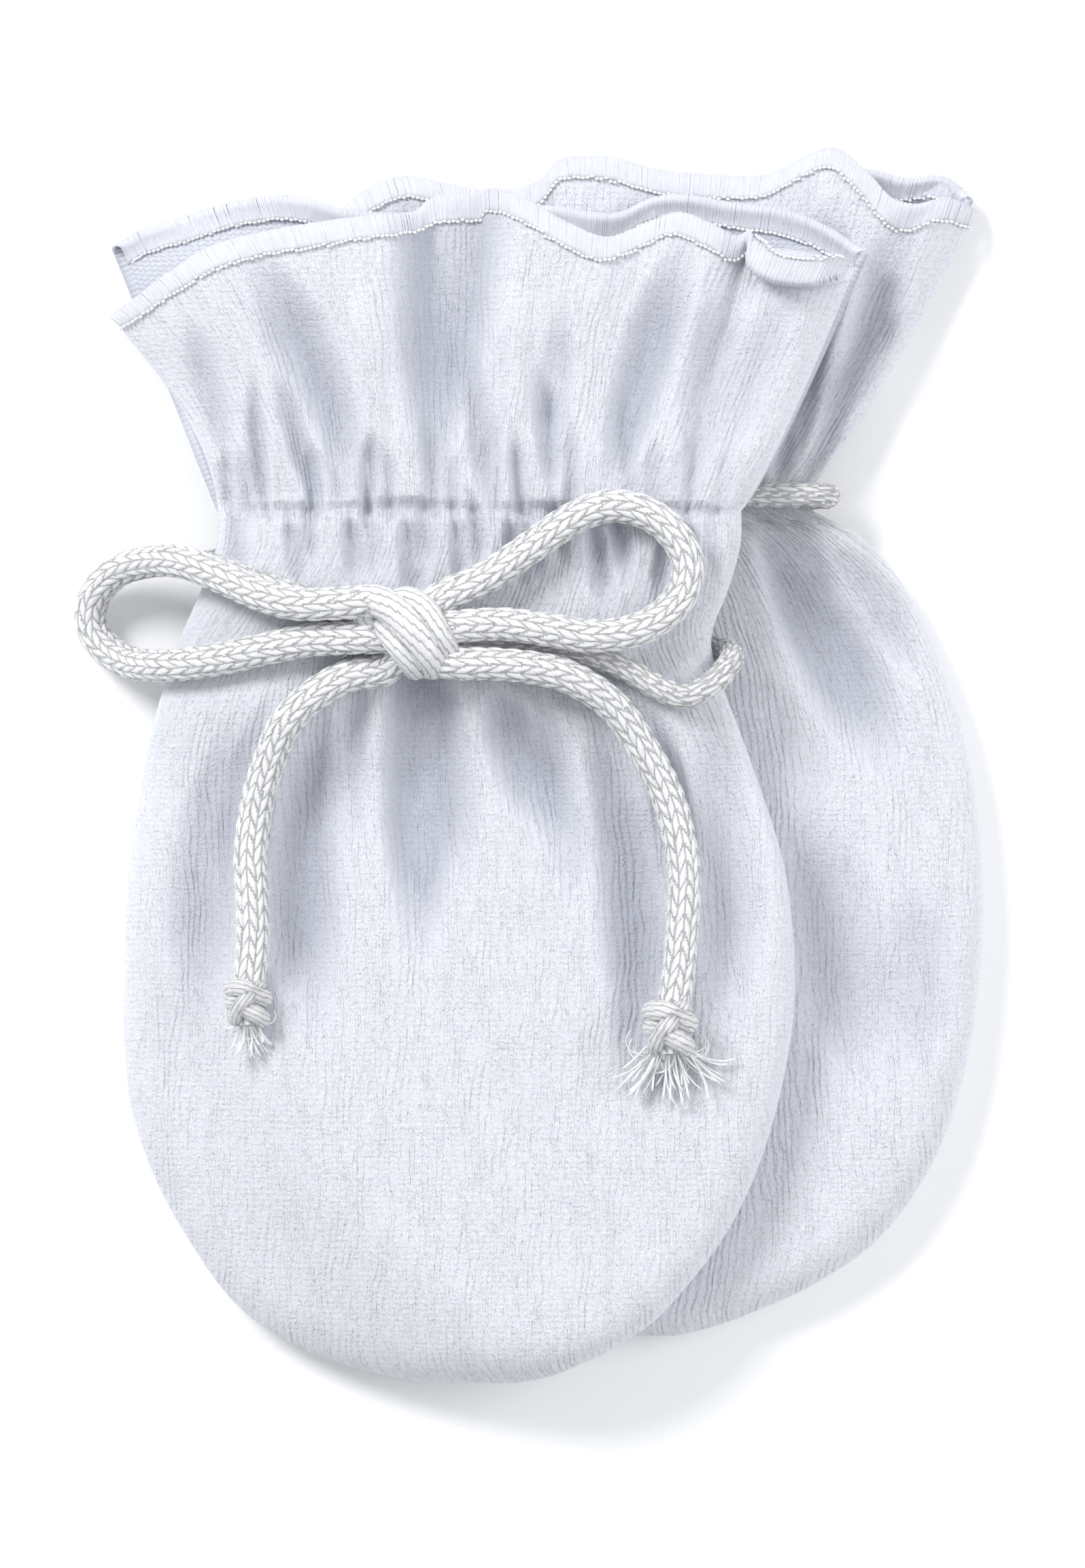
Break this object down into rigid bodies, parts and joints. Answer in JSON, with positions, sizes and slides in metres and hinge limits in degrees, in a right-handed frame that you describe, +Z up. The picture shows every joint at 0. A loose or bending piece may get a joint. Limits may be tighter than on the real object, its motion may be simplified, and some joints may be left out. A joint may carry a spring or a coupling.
{
  "type": "pair of baby mittens",
  "caption": "Thumbless velour baby mittens with ruffle cuffs, laid flat one on the other, with cords tied in a bow round the wrists.",
  "frame": {"origin": "centre of the cloth's footprint, on the surface that the mittens lie on", "axes": "+Y from the fingertips to the ruffle cuffs, +X to the right seen from above, +Z up out of the surface"},
  "size_m": [0.1, 0.1354, 0.0243],
  "materials": {
    "velour": "soft knitted velour, matt with a faint sheen",
    "yarn": "knitted tubular cotton cord, slightly lustrous"
  },
  "bodies": {
    "root": {"far_mitten_back": "velour", "far_mitten_front": "velour", "near_mitten_back": "velour", "near_mitten_front": "velour", "near_bow_knot": "yarn", "near_cord_ring": "yarn", "near_loop_left": "yarn", "near_loop_right": "yarn", "near_tail_left": "yarn", "near_end_knot_left": "yarn", "near_tail_right": "yarn", "near_end_knot_right": "yarn", "far_knot": "yarn", "far_cord_ring": "yarn"}
  },
  "joints": []
}
